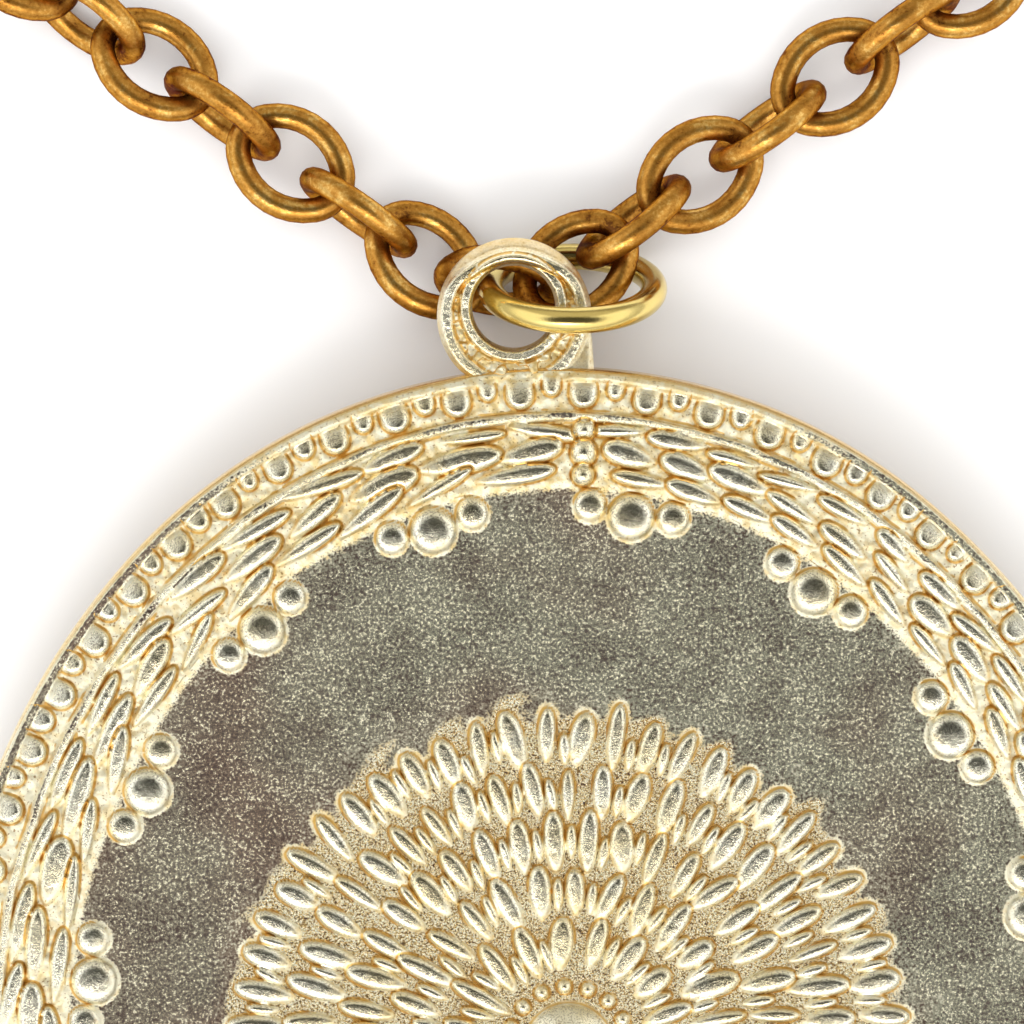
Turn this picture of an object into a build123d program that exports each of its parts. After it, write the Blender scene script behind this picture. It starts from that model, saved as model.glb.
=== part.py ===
from build123d import *

import math
import os

# Oval cast medallion on a cable chain necklace, lying face up on a flat surface. Lengths are in
# millimetres and angles in degrees. The model stands on z = 0, with +Y towards the top of the
# picture and the origin at the bottom centre of its box.

os.makedirs("parts", exist_ok=True)

# Medallion plate: an oval whose long axis runs up to the eyelet
MEDAL_HEIGHT = 48.6
MEDAL_WIDTH = 44.3
FIELD_THICKNESS = 1.5
RIM_WIDTH = 0.5
RIM_RISE = 0.45
EDGE_CHAMFER = 0.15
MEDAL_LEAN = 4.0

# Bead row inside the rim: large and small beads by turns
BEAD_PAIRS = 62
LARGE_BEAD = 0.84
SMALL_BEAD = 0.66
BEAD_GAP = 0.06

# Thin raised line inside the beads
LINE_GAP = 0.22
LINE_WIDTH = 0.18
LINE_RISE = 0.25

# Wreath of leaf triples, which run from both sides to a join near the top. The die is struck a
# little to the right of the plate's middle, and the left half has fewer, longer triples.
WREATH_GAP = 0.1
OUTER_LEAF_WIDTH = 0.56
MIDDLE_LEAF_WIDTH = 0.68
INNER_LEAF_WIDTH = 0.6
ROW_GAP = 0.14
TRIPLES_LEFT = 24
TRIPLES_RIGHT = 29
LEAF_PLAY = 0.16
DIE_SHIFT = 0.12
JOIN_TURN = -6.4
JOIN_BEAD = 0.9

# Raised middle: a leafy rosette round a domed boss, and groups of three smooth lobes inside the
# wreath
BOSS = 3.2
PEARL = 0.56
PEARLS = 16
ROSETTE_RINGS = 5
ROSETTE_LEAF_LENGTH = 2.0
ROSETTE_LEAF_WIDTH = 0.72
ROSETTE_LEAF_GAP = 0.5
RING_STEP = 1.85
LOBE_GROUPS = 16
LOBE = 1.7
SIDE_LOBE = 1.2
LOBE_MARGIN = 0.25
LOBE_GAP = 0.05

# Every cast leaf rises by this share of its width with sides that lean in by an angle. Beads and
# lobes rise by these shares of their diameters.
LEAF_RISE = 0.42
LEAF_TAPER = 35
BEAD_RISE = 0.4
LOBE_RISE = 0.25
CAST_OVERLAP = 0.15

# Eyelet at the top, thinner than the rim and set back from both faces
EYELET = 5.5
HOLE = 2.95
HOLE_UP = 0.3
EYELET_RISE = 1.9
EYELET_THICKNESS = 1.1
EYELET_SET_BACK = 0.3
NECK_WIDTH = 4.8
EYELET_RIM_WIDTH = 0.4
EYELET_RIM_RISE = 0.15
MARKS = 9
MARK_WIDTH = 0.22
MARK_SHARE = 0.6

# Chain of oval cable links, the jump ring and the clasp
CHAIN_LENGTH = 600.0
LINK_LENGTH = 5.0
LINK_WIDTH = 4.0
LINK_WIRE = 0.9
LINK_PLAY = 0.2
RING = 6.8
RING_WIRE = 0.95
CLASP_LENGTH = 9.0
CLASP_WIDTH = 3.9
CLASP_WIRE = 1.1

# How the chain leaves the medallion. Both arms rise at this angle from the picture's base line.
ARM_ANGLE = 36.0
HIDDEN_ROLL = 45.0
SAG = 0.08

# Chosen poses near the eyelet: centre x, y from the eyelet's hole, centre height, heading, slope
# and roll. The links lie flat at a roll of 0 and stand on edge at 90.
RING_POSE = (2.10, 0.65, 3.13, -3, 6, -65)
CHOSEN_LEFT = [
    (-0.50, 0.95, 1.95, 183, -26, -57),
    (-3.15, 1.70, 1.70, 137, 0, 23),
    (-5.57, 3.40, 1.98, 145, 0, -82),
]
CHOSEN_RIGHT = [
    (2.23, 1.37, 2.65, 40, 0, -17),
    (4.30, 3.05, 2.55, 39, -8, -75),
    (6.70, 4.75, 2.08, 35, -5, 14),
]
# Rolls of the links that follow, until the hidden run takes over
ROLLS_LEFT = [0, -76, 24, -64, 32, -56]
ROLLS_RIGHT = [-76, 2, 80, 0, -76, 22, -60, 38]

HALF_HEIGHT = MEDAL_HEIGHT / 2
HALF_WIDTH = MEDAL_WIDTH / 2
ROOT = math.sqrt(2)


def oval_radii(half_length, half_width):
    """Radii of an oval's end and side arcs, which meet tangent at 45 degrees."""
    end = (half_width - (ROOT - 1) * half_length) / (2 - ROOT)
    return end, half_length + half_width - end


def draw_oval(half_length, half_width):
    """Draws the four arcs of an oval along X in the current line."""
    end, side = oval_radii(half_length, half_width)
    CenterArc((half_length - end, 0), end, -45, 90)
    CenterArc((0, half_width - side), side, 45, 90)
    CenterArc((end - half_length, 0), end, 135, 90)
    CenterArc((0, side - half_width), side, 225, 90)


def on_oval(share, inset):
    """Point and outward angle at a share of the way round the plate's oval, from the eyelet to
    the left, on the parallel oval that lies inset inside it."""
    end, side = oval_radii(HALF_HEIGHT, HALF_WIDTH)
    end_arc = (end - inset) * math.pi / 2
    side_arc = (side - inset) * math.pi / 2
    run = share % 1 * 2 * (end_arc + side_arc) + end_arc / 2
    half_turns, run = divmod(run, end_arc + side_arc)
    if run < end_arc:
        angle = run / end_arc * 90 - 45
        centre = (HALF_HEIGHT - end, 0)
        radius = end - inset
    else:
        angle = (run - end_arc) / side_arc * 90 + 45
        centre = (0, HALF_WIDTH - side)
        radius = side - inset
    flip = -1 if half_turns % 2 else 1
    x = centre[0] + radius * math.cos(math.radians(angle))
    y = centre[1] + radius * math.sin(math.radians(angle))
    return flip * x, flip * y, angle + 180 * (half_turns % 2)


def share_at(angle):
    """Share of the way round that lies at an angle from the eyelet, near the top."""
    end, side = oval_radii(HALF_HEIGHT, HALF_WIDTH)
    return angle / 360 * 2 * end / (end + side)


# Place of the plate. It rests on the lower edge of its back and leans on nothing else: the
# eyelet stands over the links that pass under it.
EYELET_LIFT = LINK_WIDTH - 0.15
EYELET_X = HALF_HEIGHT + EYELET_RISE
HOLE_X = EYELET_X + HOLE_UP
CHANNEL_RADIUS = (EYELET / 2 - EDGE_CHAMFER + HOLE / 2) / 2
FOOT = HALF_HEIGHT - EDGE_CHAMFER
TILT = math.degrees(math.asin((EYELET_LIFT - EYELET_SET_BACK) / (FOOT + HOLE_X)))


def medal_plane():
    """Back face of the plate: x runs up the long axis, y to the left and z out of the front."""
    lean, tilt = math.radians(MEDAL_LEAN), math.radians(TILT)
    uphill = Vector(-math.sin(lean), math.cos(lean), 0)
    long_axis = uphill * math.cos(tilt) + Vector(0, 0, math.sin(tilt))
    front = Vector(0, 0, math.cos(tilt)) - uphill * math.sin(tilt)
    middle = Vector(0, 0, FOOT * math.sin(tilt)) - uphill * (HOLE_X * math.cos(tilt))
    return Plane(origin=middle, x_dir=long_axis, z_dir=front)


MEDAL = medal_plane()
FIELD = MEDAL.offset(FIELD_THICKNESS)
EYELET_TOP = MEDAL.offset(EYELET_SET_BACK + EYELET_THICKNESS)


def on_field(x, y, angle=0.0):
    """A place on the field, turned by an angle about the field's normal."""
    return FIELD.location * Location((x, y, 0), (0, 0, angle))


# Insets of the border's rows from the outline
BEAD_INSET = RIM_WIDTH + BEAD_GAP + LARGE_BEAD / 2
LINE_INSET = BEAD_INSET + LARGE_BEAD / 2 + LINE_GAP
OUTER_INSET = LINE_INSET + LINE_WIDTH + WREATH_GAP + OUTER_LEAF_WIDTH / 2
MIDDLE_INSET = OUTER_INSET + OUTER_LEAF_WIDTH / 2 + ROW_GAP + MIDDLE_LEAF_WIDTH / 2
INNER_INSET = MIDDLE_INSET + MIDDLE_LEAF_WIDTH / 2 + ROW_GAP + INNER_LEAF_WIDTH / 2
LOBE_INSET = INNER_INSET + INNER_LEAF_WIDTH / 2 + LOBE_MARGIN

# Rows of the wreath: leaf width, inset and how far each row lags behind, in triples
ROWS = [
    (OUTER_LEAF_WIDTH, OUTER_INSET, 0.0),
    (MIDDLE_LEAF_WIDTH, MIDDLE_INSET, 0.25),
    (INNER_LEAF_WIDTH, INNER_INSET, 0.5),
]
SIDES = [(TRIPLES_LEFT, 0.5), (TRIPLES_RIGHT, -0.5)]
JOIN_SHARE = share_at(JOIN_TURN)

# Radii of the rosette's rings
PEARL_RADIUS = BOSS / 2 + PEARL
FIRST_RING = PEARL_RADIUS + PEARL + ROSETTE_LEAF_LENGTH / 2


def die_place(share, inset):
    """A place in the wreath, whose die sits a little to the right of the plate's middle."""
    x, y, angle = on_oval(share, inset)
    return on_field(x, y - DIE_SHIFT, angle)


def wreath_row(triples, foot, inset, lag):
    """Places of one row of leaves, from the upper join round one side to the foot."""
    steps = [(n + 0.5 + lag) / (triples + 0.5) for n in range(triples)]
    return [die_place(JOIN_SHARE + (foot - JOIN_SHARE) * step, inset) for step in steps]


def row_leaf_length(triples, foot, inset):
    """Length of each leaf of a row, so that the row is full but for the play between leaves."""
    end, side = oval_radii(HALF_HEIGHT, HALF_WIDTH)
    around = math.pi * (end + side - 2 * inset)
    return around * abs(foot - JOIN_SHARE) / (triples + 0.5) - LEAF_PLAY


def around_middle(radius, count, phase=0.0, turn=0.0):
    """Places evenly round the plate's middle, the first one phase steps past the eyelet."""
    places = []
    for n in range(count):
        angle = (n + phase) * 360 / count
        x = radius * math.cos(math.radians(angle))
        y = radius * math.sin(math.radians(angle))
        places.append(on_field(x, y - DIE_SHIFT, angle + turn))
    return places


def lobe_places(diameter, shift):
    """Places of one lobe of each group, shifted along the wreath by a length."""
    end, side = oval_radii(HALF_HEIGHT, HALF_WIDTH)
    inset = LOBE_INSET + diameter / 2
    shares = [(n + 0.5) / LOBE_GROUPS for n in range(LOBE_GROUPS)]
    step = shift / (math.pi * (end + side - 2 * inset))
    return [die_place(share + step, inset) for share in shares]


def make_leaf(length, width):
    """A pointed oval leaf along the local y axis, raised above the field and sunk into it."""
    with BuildPart() as leaf:
        with BuildSketch():
            with BuildLine():
                ThreePointArc((0, -length / 2), (width / 2, 0), (0, length / 2))
                ThreePointArc((0, -length / 2), (-width / 2, 0), (0, length / 2))
            make_face()
        extrude(amount=LEAF_RISE * width, taper=LEAF_TAPER)
        extrude(leaf.faces().sort_by(Axis.Z)[0], amount=CAST_OVERLAP)
    return leaf.part


def make_dome(diameter, rise):
    """A round dome that rises by a share of its diameter and is sunk a little into the field."""
    height = rise * diameter
    radius = (diameter**2 / 4 + height**2) / (2 * height)
    with BuildPart() as dome:
        with Locations((0, 0, height - radius)):
            Sphere(radius)
        split(bisect_by=Plane.XY.offset(-CAST_OVERLAP), keep=Keep.TOP)
    return dome.part


large_bead = make_dome(LARGE_BEAD, BEAD_RISE)
small_bead = make_dome(SMALL_BEAD, BEAD_RISE)
join_bead = make_dome(JOIN_BEAD, BEAD_RISE)
pearl = make_dome(PEARL, BEAD_RISE)
boss = make_dome(BOSS, LOBE_RISE)
lobe = make_dome(LOBE, LOBE_RISE)
side_lobe = make_dome(SIDE_LOBE, LOBE_RISE)
rosette_leaf = make_leaf(ROSETTE_LEAF_LENGTH, ROSETTE_LEAF_WIDTH)

wreath = []
for width, inset, lag in ROWS:
    for triples, foot in SIDES:
        row_leaf = make_leaf(row_leaf_length(triples, foot, inset), width)
        wreath.append((row_leaf, wreath_row(triples, foot, inset, lag)))

with BuildPart() as medallion:
    # Plate with its raised rim
    with BuildSketch(MEDAL):
        with BuildLine():
            draw_oval(HALF_HEIGHT, HALF_WIDTH)
        make_face()
    extrude(amount=FIELD_THICKNESS + RIM_RISE)
    chamfer(medallion.edges(), EDGE_CHAMFER)
    with BuildSketch(FIELD):
        with BuildLine():
            draw_oval(HALF_HEIGHT - RIM_WIDTH, HALF_WIDTH - RIM_WIDTH)
        make_face()
    extrude(amount=RIM_RISE, mode=Mode.SUBTRACT)

    # Eyelet with its neck, two rims, the marks between them and the hole
    with BuildSketch(MEDAL.offset(EYELET_SET_BACK)):
        with Locations((EYELET_X, 0)):
            Circle(EYELET / 2)
        with Locations(((FOOT + EYELET_X) / 2, 0)):
            Rectangle(EYELET_X - FOOT, NECK_WIDTH)
    extrude(amount=EYELET_THICKNESS)
    with BuildSketch(EYELET_TOP):
        with Locations((EYELET_X, 0)):
            Circle(EYELET / 2 - EDGE_CHAMFER)
            Circle(EYELET / 2 - EDGE_CHAMFER - EYELET_RIM_WIDTH, mode=Mode.SUBTRACT)
        with Locations((HOLE_X, 0)):
            Circle(HOLE / 2 + EYELET_RIM_WIDTH)
    extrude(amount=EYELET_RIM_RISE)
    with BuildSketch(EYELET_TOP):
        with Locations((EYELET_X, 0)):
            with PolarLocations(CHANNEL_RADIUS, MARKS, start_angle=180 / MARKS):
                Rectangle(EYELET_RIM_WIDTH, MARK_WIDTH)
    extrude(amount=EYELET_RIM_RISE * MARK_SHARE)
    with BuildSketch(MEDAL):
        with Locations((HOLE_X, 0)):
            Circle(HOLE / 2)
    extrude(amount=FIELD_THICKNESS + RIM_RISE, mode=Mode.SUBTRACT)

    # Bead row
    with Locations(*[on_field(*on_oval(n / BEAD_PAIRS, BEAD_INSET)) for n in range(BEAD_PAIRS)]):
        add(large_bead)
    between = [(n + 0.5) / BEAD_PAIRS for n in range(BEAD_PAIRS)]
    with Locations(*[on_field(*on_oval(share, BEAD_INSET)) for share in between]):
        add(small_bead)

    # Thin line inside the beads
    with BuildSketch(Plane(on_field(0, -DIE_SHIFT))):
        with BuildLine():
            draw_oval(HALF_HEIGHT - LINE_INSET, HALF_WIDTH - LINE_INSET)
        make_face()
        line_end = LINE_INSET + LINE_WIDTH
        with BuildLine():
            draw_oval(HALF_HEIGHT - line_end, HALF_WIDTH - line_end)
        make_face(mode=Mode.SUBTRACT)
    extrude(amount=LINE_RISE)

    # Wreath and its joins
    for row_leaf, places in wreath:
        with Locations(*places):
            add(row_leaf)
    for share in (JOIN_SHARE, 0.5):
        with Locations(*[die_place(share, inset) for width, inset, lag in ROWS]):
            add(join_bead)

    # Groups of three lobes along the wreath
    with Locations(*lobe_places(LOBE, 0)):
        add(lobe)
    lobe_step = (LOBE + SIDE_LOBE) / 2 + LOBE_GAP
    with Locations(*lobe_places(SIDE_LOBE, lobe_step), *lobe_places(SIDE_LOBE, -lobe_step)):
        add(side_lobe)

    # Rosette
    with Locations(on_field(0, -DIE_SHIFT)):
        add(boss)
    with Locations(*around_middle(PEARL_RADIUS, PEARLS)):
        add(pearl)
    for ring in range(ROSETTE_RINGS):
        radius = FIRST_RING + ring * RING_STEP
        count = int(2 * math.pi * radius / (ROSETTE_LEAF_WIDTH + ROSETTE_LEAF_GAP))
        with Locations(*around_middle(radius, count, ring % 2 / 2, turn=90)):
            add(rosette_leaf)


def link_place(x, y, z, heading, slope, roll):
    """Place of a link whose long axis points along a heading and slope, and is rolled about it."""
    h, s, r = math.radians(heading), math.radians(slope), math.radians(roll)
    along = Vector(math.cos(h) * math.cos(s), math.sin(h) * math.cos(s), math.sin(s))
    left = Vector(-math.sin(h), math.cos(h), 0)
    face = along.cross(left) * math.cos(r) - left * math.sin(r)
    return Plane(origin=(x, y, z), x_dir=along, z_dir=face).location


# Centre line of a link, the distance between links, and the run left to the straight and hidden
# links of both arms once the chosen links and the clasp are taken off
LINK_X = (LINK_LENGTH - LINK_WIRE) / 2
LINK_Y = (LINK_WIDTH - LINK_WIRE) / 2
PITCH = LINK_LENGTH - 2 * LINK_WIRE - LINK_PLAY
CLASP_SPAN = CLASP_LENGTH + LINK_LENGTH - 2 * (CLASP_WIRE + LINK_WIRE) - LINK_PLAY
CHOSEN_RUN = (len(CHOSEN_LEFT) + len(CHOSEN_RIGHT)) * PITCH
LONG_RUN = CHAIN_LENGTH - CHOSEN_RUN - CLASP_SPAN

# Each arm runs straight, then on one wide arc to the clasp at the top of the loop. The radius
# and the two straight lengths make both arms end level, one clasp apart.
RISE = math.radians(ARM_ANGLE)
START_LEFT = CHOSEN_LEFT[-1]
START_RIGHT = CHOSEN_RIGHT[-1]
APART = CLASP_SPAN - (START_RIGHT[0] - START_LEFT[0])
ARC_RADIUS = (LONG_RUN - APART / math.cos(RISE)) / (2 * (math.tan(RISE) + math.pi - RISE))
STRAIGHTS = (APART + 2 * ARC_RADIUS * math.sin(RISE)) / math.cos(RISE)
UNEVEN = (START_RIGHT[1] - START_LEFT[1]) / math.sin(RISE)
ARC_RUN = ARC_RADIUS * (math.pi - RISE)


def arm_point(start, side, straight, run):
    """Position and heading at a run along an arm; side is 1 for the right arm, -1 for the left."""
    travel = min(run, straight)
    x = start[0] + side * travel * math.cos(RISE)
    y = start[1] + travel * math.sin(RISE)
    turned = RISE + max(run - straight, 0) / ARC_RADIUS
    x += side * ARC_RADIUS * (math.sin(turned) - math.sin(RISE))
    y += ARC_RADIUS * (math.cos(RISE) - math.cos(turned))
    heading = math.degrees(turned)
    return x, y, heading if side == 1 else 180 - heading


def arm_links(chosen, rolls, side, straight):
    """Poses of all the links of one arm. The links rest on the surface, and the middles of
    neighbours differ in height by one sag at the most."""
    length = straight + ARC_RUN
    count = 2 * round((length / PITCH - 1) / 2) + 1
    first = math.copysign(HIDDEN_ROLL, -rolls[-1])
    hidden = [first * (-1) ** n for n in range(count - len(rolls))]
    rolls = rolls + hidden
    needs = [LINK_WIRE / 2 + LINK_Y * abs(math.sin(math.radians(roll))) for roll in rolls]
    needs = [chosen[-1][2]] + needs
    poses = list(chosen)
    for n, roll in enumerate(rolls, start=1):
        x, y, heading = arm_point(chosen[-1], side, straight, n * length / count)
        z = max(need - SAG * abs(n - m) for m, need in enumerate(needs))
        poses.append((x, y, z, heading, 0, roll))
    return poses


poses_left = arm_links(CHOSEN_LEFT, ROLLS_LEFT, -1, (STRAIGHTS + UNEVEN) / 2)
poses_right = arm_links(CHOSEN_RIGHT, ROLLS_RIGHT, 1, (STRAIGHTS - UNEVEN) / 2)
last_left, last_right = poses_left[-1], poses_right[-1]

with BuildPart() as link:
    with BuildLine() as link_line:
        draw_oval(LINK_X, LINK_Y)
    with BuildSketch(Plane(origin=link_line.line @ 0, z_dir=link_line.line % 0)):
        Circle(LINK_WIRE / 2)
    sweep()

with BuildPart() as chain_left:
    add([link.part.moved(link_place(*pose)) for pose in poses_left], mode=Mode.REPLACE, clean=False)

with BuildPart() as chain_right:
    add([link.part.moved(link_place(*pose)) for pose in poses_right], mode=Mode.REPLACE, clean=False)

with BuildPart() as jump_ring:
    with Locations(link_place(*RING_POSE)):
        Torus((RING - RING_WIRE) / 2, RING_WIRE / 2)

with BuildPart() as clasp:
    with BuildLine() as clasp_line:
        bend = (CLASP_WIDTH - CLASP_WIRE) / 2
        reach = (CLASP_LENGTH - CLASP_WIRE) / 2 - bend
        Line((-reach, -bend), (reach, -bend))
        CenterArc((reach, 0), bend, -90, 180)
        Line((reach, bend), (-reach, bend))
        CenterArc((-reach, 0), bend, 90, 180)
    with BuildSketch(Plane(origin=clasp_line.line @ 0, z_dir=clasp_line.line % 0)):
        Circle(CLASP_WIRE / 2)
    sweep()
clasp_x = (last_left[0] + last_right[0]) / 2
clasp_z = CLASP_WIRE / 2 + bend * math.sin(math.radians(HIDDEN_ROLL))
clasp.part = clasp.part.moved(link_place(clasp_x, last_left[1], clasp_z, 0, 0, -HIDDEN_ROLL))

# Origin at the bottom centre of the whole
pieces = {
    "medallion": medallion,
    "jump_ring": jump_ring,
    "chain_left": chain_left,
    "chain_right": chain_right,
    "clasp": clasp,
}
boxes = [piece.part.bounding_box() for piece in pieces.values()]
low = [min(tuple(box.min)[axis] for box in boxes) for axis in range(3)]
high = [max(tuple(box.max)[axis] for box in boxes) for axis in range(3)]
to_origin = Location((-(low[0] + high[0]) / 2, -(low[1] + high[1]) / 2, -low[2]))
for name, piece in pieces.items():
    piece.part = piece.part.moved(to_origin)

medallion.part.label = "medallion"
export_step(medallion.part, "parts/medallion.step")
jump_ring.part.label = "jump_ring"
export_step(jump_ring.part, "parts/jump_ring.step")
chain_left.part.label = "chain_left"
export_step(chain_left.part, "parts/chain_left.step")
chain_right.part.label = "chain_right"
export_step(chain_right.part, "parts/chain_right.step")
clasp.part.label = "clasp"
export_step(clasp.part, "parts/clasp.step")
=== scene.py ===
# %% [markdown]
# # A cast medallion on its chain
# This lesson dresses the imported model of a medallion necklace. The medallion is one casting
# with a beaded rim, a wreath of leaves and a raised middle. It hangs by a round ring from a
# closed cable chain and lies face up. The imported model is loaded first, because every piece
# below is placed in its frame and none of them may leave its box.

import math

import bpy
import numpy as np
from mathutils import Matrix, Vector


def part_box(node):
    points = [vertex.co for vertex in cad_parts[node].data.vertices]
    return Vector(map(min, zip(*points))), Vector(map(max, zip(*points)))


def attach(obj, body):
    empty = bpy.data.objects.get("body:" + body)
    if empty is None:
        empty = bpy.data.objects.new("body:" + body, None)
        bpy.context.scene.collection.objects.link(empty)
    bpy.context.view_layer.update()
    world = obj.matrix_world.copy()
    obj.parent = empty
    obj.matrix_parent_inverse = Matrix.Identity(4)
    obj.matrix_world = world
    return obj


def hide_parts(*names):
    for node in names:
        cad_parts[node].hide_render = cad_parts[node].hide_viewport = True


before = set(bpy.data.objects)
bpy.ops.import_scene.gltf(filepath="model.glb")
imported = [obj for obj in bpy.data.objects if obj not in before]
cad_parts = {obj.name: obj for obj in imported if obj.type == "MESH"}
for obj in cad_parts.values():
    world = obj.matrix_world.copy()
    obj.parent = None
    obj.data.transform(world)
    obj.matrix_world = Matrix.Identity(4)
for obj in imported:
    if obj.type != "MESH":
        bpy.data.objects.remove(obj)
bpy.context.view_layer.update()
MM = 0.001

# %% [markdown]
# ## Where the plate lies
# The plate leans 4 degrees to the left and its eyelet is propped up by the links that pass
# under it. All the plate's work is done in flat plate coordinates in millimetres: x up the
# long axis to the eyelet, y to the left and z out of the front, from the middle of the back.
# The jump ring's box tells where the eyelet's hole is, because the ring's middle is known
# from the hole.

# %% Plate coordinates
# The oval, the heights of its field and rim over the back, and the rounding of its edge
MEDAL_HEIGHT = 48.6
MEDAL_WIDTH = 44.3
FIELD = 1.5
RIM_TOP = 1.95
EDGE = 0.15

# Diameters and middles of the eyelet and its hole, and the eyelet's back over the plate's back
EYELET = 5.5
HOLE = 2.95
EYELET_X = MEDAL_HEIGHT / 2 + 1.9
HOLE_X = EYELET_X + 0.3
EYELET_BACK = 0.3

# How it lies: the height of the eyelet's back at the hole, the lean to the left, and the ring's
# middle from the hole, with its heading, slope and roll in degrees
EYELET_LIFT = 3.85
LEAN = math.radians(4.0)
RING_POSE = (2.10, 0.65, 3.13, -3, 6, -65)

HALF_HEIGHT = MEDAL_HEIGHT / 2
HALF_WIDTH = MEDAL_WIDTH / 2
FOOT = HALF_HEIGHT - EDGE
TILT = math.asin((EYELET_LIFT - EYELET_BACK) / (FOOT + HOLE_X))

ring_low, ring_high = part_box("jump_ring")
ring_middle = (np.array(ring_low) + np.array(ring_high)) / 2 / MM
HOLE_AT = ring_middle - np.array(RING_POSE[:3])

uphill = np.array((-math.sin(LEAN), math.cos(LEAN), 0.0))
skyward = np.array((0.0, 0.0, 1.0))
PLATE_X = uphill * math.cos(TILT) + skyward * math.sin(TILT)
PLATE_Z = skyward * math.cos(TILT) - uphill * math.sin(TILT)
PLATE_Y = np.cross(PLATE_Z, PLATE_X)
PLATE_MIDDLE = HOLE_AT + skyward * FOOT * math.sin(TILT) - uphill * HOLE_X * math.cos(TILT)


def off_the_plate(x, y, z):
    """Turns plate coordinates in millimetres into points of the frame in metres."""
    x, y, z = (np.asarray(v, float)[..., None] for v in (x, y, z))
    return (PLATE_MIDDLE + x * PLATE_X + y * PLATE_Y + z * PLATE_Z) * MM


print("hole at", HOLE_AT.round(3), "tilt", round(math.degrees(TILT), 2))

# %% [markdown]
# ## The plate's outline
# The outline is an oval of four arcs that meet tangent at 45 degrees, so a line that runs
# parallel inside it is an oval of four arcs too. That makes the distance from the outline, the
# inset, easy to work out for any point, and the border's rows simply follow an inset.

# %% Oval of four arcs
ROOT = math.sqrt(2)
END_RADIUS = (HALF_WIDTH - (ROOT - 1) * HALF_HEIGHT) / (2 - ROOT)
SIDE_RADIUS = HALF_HEIGHT + HALF_WIDTH - END_RADIUS
END_CENTRE = HALF_HEIGHT - END_RADIUS
SIDE_CENTRE = HALF_WIDTH - SIDE_RADIUS


def on_oval(share, inset):
    """Points and outward angles in degrees at shares of the way round, from the eyelet to the
    left, on the oval that lies inset inside the outline."""
    share = np.asarray(share, float)
    end_arc = (END_RADIUS - inset) * math.pi / 2
    side_arc = (SIDE_RADIUS - inset) * math.pi / 2
    run = share % 1 * 2 * (end_arc + side_arc) + end_arc / 2
    turns, run = np.divmod(run, end_arc + side_arc)
    at_end = run < end_arc
    angle = np.where(at_end, run / end_arc * 90 - 45, (run - end_arc) / side_arc * 90 + 45)
    radius = np.where(at_end, END_RADIUS, SIDE_RADIUS) - inset
    flip = 1 - 2 * (turns % 2)
    x = np.where(at_end, END_CENTRE, 0) + radius * np.cos(np.radians(angle))
    y = np.where(at_end, 0, SIDE_CENTRE) + radius * np.sin(np.radians(angle))
    return flip * x, flip * y, angle + 180 * (turns % 2)


def inset_of(x, y):
    """How far points lie inside the outline."""
    x, y = np.abs(x), np.abs(y)
    at_end = x - END_CENTRE > y
    from_end = END_RADIUS - np.hypot(x - END_CENTRE, y)
    from_side = SIDE_RADIUS - np.hypot(x, y - SIDE_CENTRE)
    return np.where(at_end, from_end, from_side)


print("arcs", round(END_RADIUS, 2), round(SIDE_RADIUS, 2))

# %% [markdown]
# ## Camera
# The camera looks straight down on the eyelet and the upper half of the plate, as in the
# photograph. Its distance is chosen, and the lens follows from it: 28 pixels are one millimetre
# at the height of the plate's face.

# %% Camera over the eyelet
PIXELS_A_MM = 28.0
IMAGE = 1024
HOLE_PIXEL = (513.5, 306.0)
CAMERA_DISTANCE = 0.25
FACE_HEIGHT = 0.0035
SENSOR = 36.0

look_x = HOLE_AT[0] + (IMAGE / 2 - HOLE_PIXEL[0]) / PIXELS_A_MM
look_y = HOLE_AT[1] - (IMAGE / 2 - HOLE_PIXEL[1]) / PIXELS_A_MM
camera_data = bpy.data.cameras.new("camera")
camera_data.sensor_width = SENSOR
camera_data.lens = SENSOR * CAMERA_DISTANCE / (IMAGE / PIXELS_A_MM * MM)
camera_data.clip_start = 0.01
camera = bpy.data.objects.new("camera", camera_data)
camera.location = (look_x * MM, look_y * MM, FACE_HEIGHT + CAMERA_DISTANCE)
bpy.context.scene.collection.objects.link(camera)
bpy.context.scene.camera = camera
print("lens", round(camera_data.lens, 1), "mm")

# %% [markdown]
# ## Light
# Polished metal shows nothing but its surroundings. In the photograph faces that look straight
# up are dark grey and slopes are white, as in a white light tent with the camera in its dark
# top. The tent could be built from sheets, but a world shader surrounds every view and has no
# edges. Its far side is dimmer, and a strong lamp at its near side gives the round wires a
# bright line. A soft lamp from above, hidden from reflections, lights the floor.

# %% Node helpers


def add_node(tree, kind, links=None, **settings):
    """Adds a shader node, sets its properties and feeds its inputs from values or sockets."""
    node = tree.nodes.new(kind)
    for name, value in settings.items():
        setattr(node, name, value)
    for name, value in (links or {}).items():
        socket = node.inputs[name]
        if isinstance(value, bpy.types.NodeSocket):
            tree.links.new(value, socket)
        else:
            socket.default_value = value
    return node


def add_ramp(tree, factor, stops):
    """A colour ramp through (position, colour) stops."""
    ramp = add_node(tree, "ShaderNodeValToRGB", {"Fac": factor})
    ramp.color_ramp.elements[0].position = 0.0
    ramp.color_ramp.elements[1].position = 1.0
    while len(ramp.color_ramp.elements) < len(stops):
        ramp.color_ramp.elements.new(0.5)
    for element, (position, colour) in zip(ramp.color_ramp.elements, stops):
        element.position = position
        element.color = (*colour, 1.0)
    return ramp.outputs["Color"]


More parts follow.
